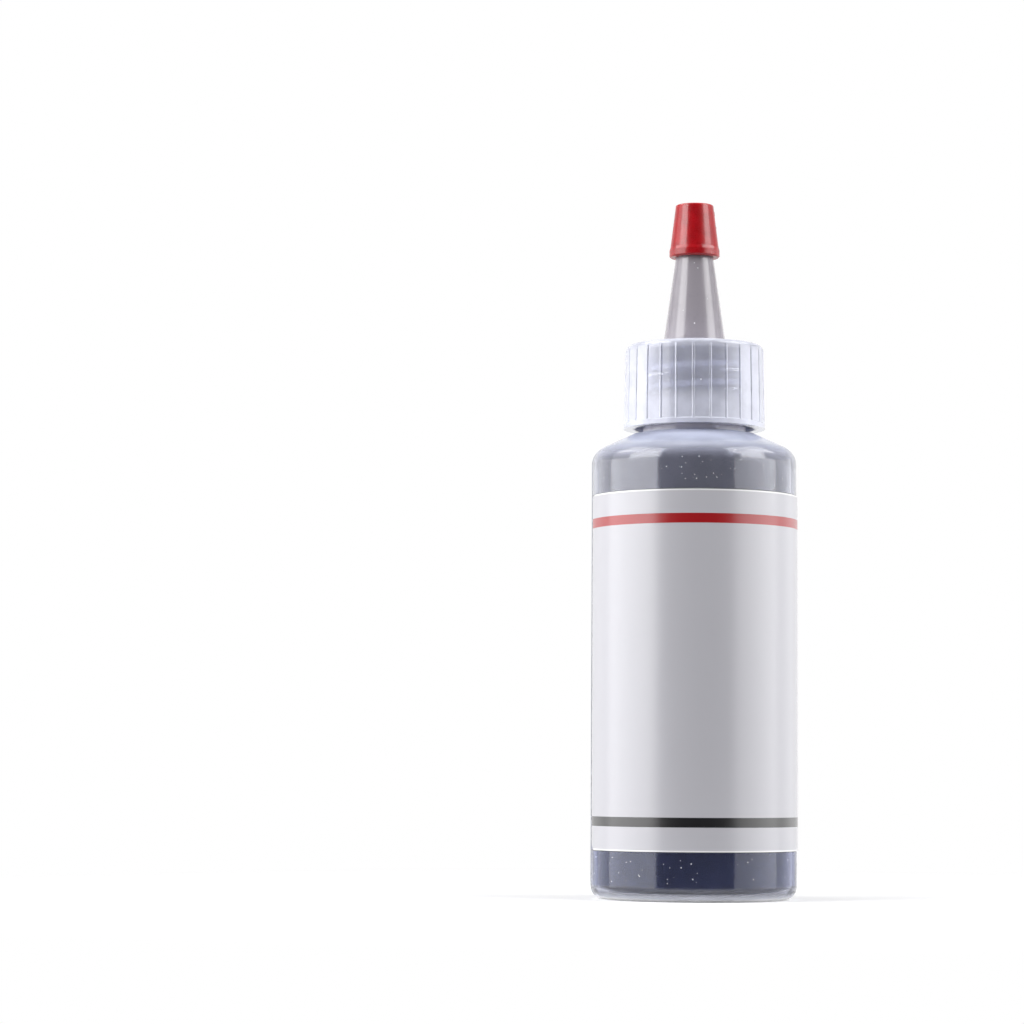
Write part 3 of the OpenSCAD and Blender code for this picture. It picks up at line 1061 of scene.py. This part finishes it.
class BOTTLE_OT_powder(bpy.types.Operator):
    """Fill the bottle with uneven graphite powder and leave its dust on the walls"""

    bl_idname = "bottle.powder"
    bl_label = "Fill with Powder"

    def execute(self, context):
        look = context.scene.powder_settings
        self.add_powder(look)
        self.add_wall_dust(look)
        return {"FINISHED"}

    def add_powder(self, look):
        gap = 0.06 * MM
        r_max = CAVITY_R - gap
        floor_z = CAVITY_FLOOR_Z + gap
        corner = CORNER_IN_R - gap
        push_up_z = PUSH_UP_H + floor_z
        line = [(0, push_up_z), (PUSH_UP_R, push_up_z), (STAND_INNER_R, floor_z)]
        line += arc((STAND_OUTER_R, floor_z + corner), corner, -math.pi / 2, 0, 6)
        line += [(r_max, look.level * share) for share in (0.2, 0.4, 0.6, 0.8, 0.95)]
        rings = 26
        for j in range(rings):
            r = r_max * (1 - j / rings)
            line.append((r, look.level + look.crown * (1 - (r / r_max) ** 2)))
        line.append((0, look.level + look.crown))
        top = look.level * 0.97
        lump = 3.2 * MM

        def settle(p):
            """Lowers a point of the powder's surface, more on the right, with lumps."""
            if p.z < top:
                return p
            flat = Vector((p.x, p.y, 0))
            lumps = noise.fractal(flat / lump, 0.8, 2.1, 4)
            slump = 0.35 * (1 + p.x / r_max)
            sunk = look.unevenness * (0.45 + slump + 0.45 * lumps)
            return Vector((p.x, p.y, p.z - max(sunk, 0.02 * MM)))

        powder = lathe("powder_fill", line, 160, settle)
        finish = Finish("graphite_powder")
        lumps = finish.noise(0.5 * MM, 5.0)
        drift = finish.noise(8 * MM, 2.0)
        dark = tuple(0.6 * c for c in look.powder)
        light = tuple(1.7 * c for c in look.powder)
        fine, coarse = finish.math("MULTIPLY", lumps, 0.6), finish.math("MULTIPLY", drift, 0.4)
        tone = finish.math("ADD", fine, coarse)
        normal = finish.bump(finish.noise(0.25 * MM, 4.0), 0.06 * MM)
        finish.set(
            Base_Color=finish.mix(finish.steps(tone, 0.35, 0.68), dark, light),
            Roughness=finish.steps(lumps, 0.3, 0.7, 0.5, 0.75),
            Metallic=finish.steps(finish.cells(0.3 * MM), 0.12, 0.2, 0.7, 0.0),
            Normal=normal,
        )
        dress(powder, finish, "bottle_body", ["graphite_powder"])

    def add_wall_dust(self, look):
        gap = 0.08 * MM
        centre = (BODY_R - SHOULDER_OUT_R, BARREL_TOP_Z)
        bare = BARREL_TOP_Z - look.level
        line = [(CAVITY_R - gap, look.level + share * bare) for share in (0.02, 0.5)]
        line += arc(centre, SHOULDER_IN_R - gap, 0, math.pi / 2 - SHOULDER_SLOPE, 8)
        line.append((NECK_BORE_R, NECK_MOUTH_Z - gap))
        for z in (NECK_MOUTH_Z + 0.4 * MM, RIM_Z - 4 * MM, RIM_Z - 0.3 * MM):
            line.append((NECK_BORE_R - gap, z))
        skin = shell("wall_dust", line, 0.03 * MM)
        dress(skin, self.dust(look), "bottle_body")

    def dust(self, look):
        """Dark on the barrel, thin on the shoulder and bluish through the neck."""
        finish = Finish("dust_film")
        z = finish.height()
        cloud = finish.noise(3 * MM, 5.0, (1, 1, 0.5))
        thin = finish.steps(z, BARREL_TOP_Z - 0.5 * MM, BARREL_TOP_Z + 3.5 * MM)
        base = finish.mix(thin, look.dust, look.thin_dust)
        in_neck = finish.steps(z, SKIRT_LOW_Z, SKIRT_LOW_Z + 2 * MM)
        base = finish.mix(in_neck, base, NECK_DUST)
        pale = finish.mix(finish.steps(cloud, 0.42, 0.75, 0.0, 0.15), base, PALE_DUST)
        finish.set(
            Base_Color=pale,
            Roughness=finish.steps(cloud, 0.3, 0.7, 0.5, 0.7),
            Normal=finish.bump(finish.noise(0.2 * MM, 3.0), 0.02 * MM),
        )
        return finish


class BOTTLE_OT_liner(bpy.types.Operator):
    """Give the cap's liner its white foam"""

    bl_idname = "bottle.liner"
    bl_label = "Finish Liner"

    def execute(self, context):
        finish = Finish("foam_liner")
        cells = finish.cells(0.16 * MM)
        stain = finish.steps(finish.noise(1.5 * MM, 4.0), 0.5, 0.8, 0.0, 0.4)
        finish.set(
            Base_Color=finish.mix(stain, FOAM, FOAM_STAIN),
            Roughness=finish.steps(cells, 0.1, 0.6, 0.75, 0.95),
            Normal=finish.bump(cells, 0.03 * MM),
        )
        paint([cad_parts["cap_liner"]], finish)
        return {"FINISHED"}


class BOTTLE_OT_spout_cap(bpy.types.Operator):
    """Give the spout cap its milky plastic and line the spout with dust"""

    bl_idname = "bottle.spout_cap"
    bl_label = "Finish Spout Cap"

    def execute(self, context):
        look = context.scene.cap_settings
        paint([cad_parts["spout_cap"]], self.plastic(look))
        self.add_spout_dust(context.scene.powder_settings)
        self.add_grains()
        return {"FINISHED"}

    def plastic(self, look):
        """Clear where the skirt is seen square on, milky at its foot and sides and in the deck."""
        finish = Finish("cap_plastic")
        z = finish.height()
        on_spout = finish.steps(z, DECK_Z + 0.2 * MM, DECK_Z + MM)
        in_deck = finish.steps(z, DECK_UNDER_Z - 0.7 * MM, DECK_UNDER_Z)
        upper = finish.steps(on_spout, 0.0, 1.0, look.deck_milk, look.spout_milk)
        dull = finish.steps(on_spout, 0.0, 1.0, 0.0, 0.1)
        sides = finish.edge_on(0.1, 0.4)
        skirt = finish.steps(sides, 0.0, 1.0, look.skirt_milk, look.edge_milk)
        outside = finish.steps(finish.radius(), SKIRT_IN_R + 0.1 * MM, SKIRT_IN_R + 0.5 * MM)
        foot, fade_end = SKIRT_LOW_Z + 3.1 * MM, SKIRT_LOW_Z + 9.6 * MM
        skirt = finish.math("MAXIMUM", skirt, finish.steps(z, foot, fade_end, look.low_milk, 0.0))
        skirt = finish.blend(outside, look.inside_milk, skirt)
        cloud = finish.steps(finish.noise(3 * MM, 3.0), 0.3, 0.7, 0.92, 1.08)
        milk = finish.math("MULTIPLY", finish.blend(in_deck, skirt, upper), cloud, clamp=True)
        waves = finish.noise(2.5 * MM, 2.0, (1, 1, 0.3))
        grain = finish.noise(0.15 * MM, 2.0)
        normal = finish.bump(waves, 0.007 * MM)
        normal = finish.bump(grain, 0.002 * MM, normal)
        finish.set(
            Base_Color=finish.mix(on_spout, look.plastic, look.spout_plastic),
            Transmission_Weight=finish.math("SUBTRACT", 1.0, milk),
            Roughness=finish.math("ADD", finish.steps(grain, 0.3, 0.7, 0.1, 0.14), dull),
            IOR=1.22,
            Coat_Weight=finish.math("MAXIMUM", outside, in_deck),
            Coat_Roughness=0.18,
            Normal=normal,
        )
        return finish

    def add_grains(self):
        """A few grains of pale dust on the outside of the skirt and the spout."""
        places = [on_side(degrees, z, r, size * MM) for degrees, z, r, size in CAP_GRAINS]
        specks = blobs("cap_specks", places, 21)
        dress(specks, pale_specks("cap_specks"), "cap_body")

    def add_spout_dust(self, look):
        gap, parts = 0.02 * MM, 8
        bore_h = OUTLET_Z - DECK_UNDER_Z
        slope = (SPOUT_BORE_R - OUTLET_R) / bore_h
        line = []
        for i in range(parts + 1):
            up = 0.3 * MM + (bore_h - 0.4 * MM) * i / parts
            line.append((SPOUT_BORE_R - slope * up - gap, DECK_UNDER_Z + up))
        line.append((OUTLET_R - gap, OUTLET_Z + 0.2 * MM))
        line.append((OUTLET_R - gap, SPOUT_END_Z - 0.2 * MM))
        skin = shell("spout_dust", line, 0.03 * MM, 96)
        finish = Finish("spout_dust")
        cloud = finish.noise(1.6 * MM, 5.0, (1, 1, 0.6))
        finish.set(
            Base_Color=finish.mix(finish.steps(cloud, 0.4, 0.7), SPOUT_DUST, look.thin_dust),
            Roughness=finish.steps(cloud, 0.3, 0.7, 0.5, 0.7),
            Normal=finish.bump(finish.noise(0.2 * MM, 3.0), 0.02 * MM),
        )
        dress(skin, finish, "cap_body")


class BOTTLE_OT_tip_cap(bpy.types.Operator):
    """Give the tip cap its red plastic and the nubs of its mould"""

    bl_idname = "bottle.tip_cap"
    bl_label = "Finish Tip Cap"

    def execute(self, context):
        look = context.scene.tip_settings
        finish = Finish("red_plastic")
        cloud = finish.noise(1.8 * MM, 3.0)
        grain = finish.noise(0.12 * MM, 2.0)
        deep = tuple(0.8 * c for c in look.plastic)
        normal = finish.bump(finish.noise(1.5 * MM, 2.0, (1, 1, 0.3)), 0.03 * MM)
        normal = finish.bump(grain, 0.002 * MM, normal)
        finish.set(
            Base_Color=finish.mix(finish.steps(cloud, 0.35, 0.65), deep, look.plastic),
            Subsurface_Weight=0.3,
            Subsurface_Radius=(1.2 * MM, 0.2 * MM, 0.2 * MM),
            Subsurface_Scale=1.0,
            Roughness=finish.steps(grain, 0.3, 0.7, 0.26, 0.33),
            IOR=1.42,
            Coat_Weight=0.45,
            Coat_Roughness=0.07,
            Sheen_Weight=0.6,
            Sheen_Roughness=0.45,
            Sheen_Tint=(1.0, 0.07, 0.06),
            Normal=normal,
        )
        paint([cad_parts["tip_cap"]], finish)
        self.add_nubs(look, finish)
        return {"FINISHED"}

    def add_nubs(self, look, finish):
        places = [on_side(degrees, z, r, look.nub * size) for degrees, z, r, size in TIP_NUBS]
        nubs = blobs("tip_nubs", places, 5)
        dress(nubs, finish, "tip_body")


OPERATORS = (
    BOTTLE_OT_stage,
    BOTTLE_OT_bottle,
    BOTTLE_OT_label,
    BOTTLE_OT_powder,
    BOTTLE_OT_liner,
    BOTTLE_OT_spout_cap,
    BOTTLE_OT_tip_cap,
)


class BOTTLE_PT_sidebar(bpy.types.Panel):
    """Lists the bottle's pieces and their settings"""

    bl_label = "Powder Bottle"
    bl_idname = "BOTTLE_PT_sidebar"
    bl_space_type = "VIEW_3D"
    bl_region_type = "UI"
    bl_category = "Bottle"

    def draw(self, context):
        for operator in OPERATORS:
            self.layout.operator(operator.bl_idname)
        for name, group in SETTINGS:
            box = self.layout.box()
            for prop in group.__annotations__:
                box.prop(getattr(context.scene, name), prop)


SETTINGS = (
    ("studio_settings", StudioSettings),
    ("bottle_settings", BottleSettings),
    ("label_settings", LabelSettings),
    ("powder_settings", PowderSettings),
    ("cap_settings", CapSettings),
    ("tip_settings", TipSettings),
)


def register():
    for name, group in SETTINGS:
        bpy.utils.register_class(group)
        setattr(bpy.types.Scene, name, PointerProperty(type=group))
    for item in (*OPERATORS, BOTTLE_PT_sidebar):
        bpy.utils.register_class(item)


def unregister():
    for item in (BOTTLE_PT_sidebar, *reversed(OPERATORS)):
        bpy.utils.unregister_class(item)
    for name, group in reversed(SETTINGS):
        delattr(bpy.types.Scene, name)
        bpy.utils.unregister_class(group)


def main():
    register()
    bpy.ops.bottle.stage()
    bpy.ops.bottle.bottle()
    bpy.ops.bottle.label()
    bpy.ops.bottle.powder()
    bpy.ops.bottle.liner()
    bpy.ops.bottle.spout_cap()
    bpy.ops.bottle.tip_cap()


if __name__ == "__main__":
    main()
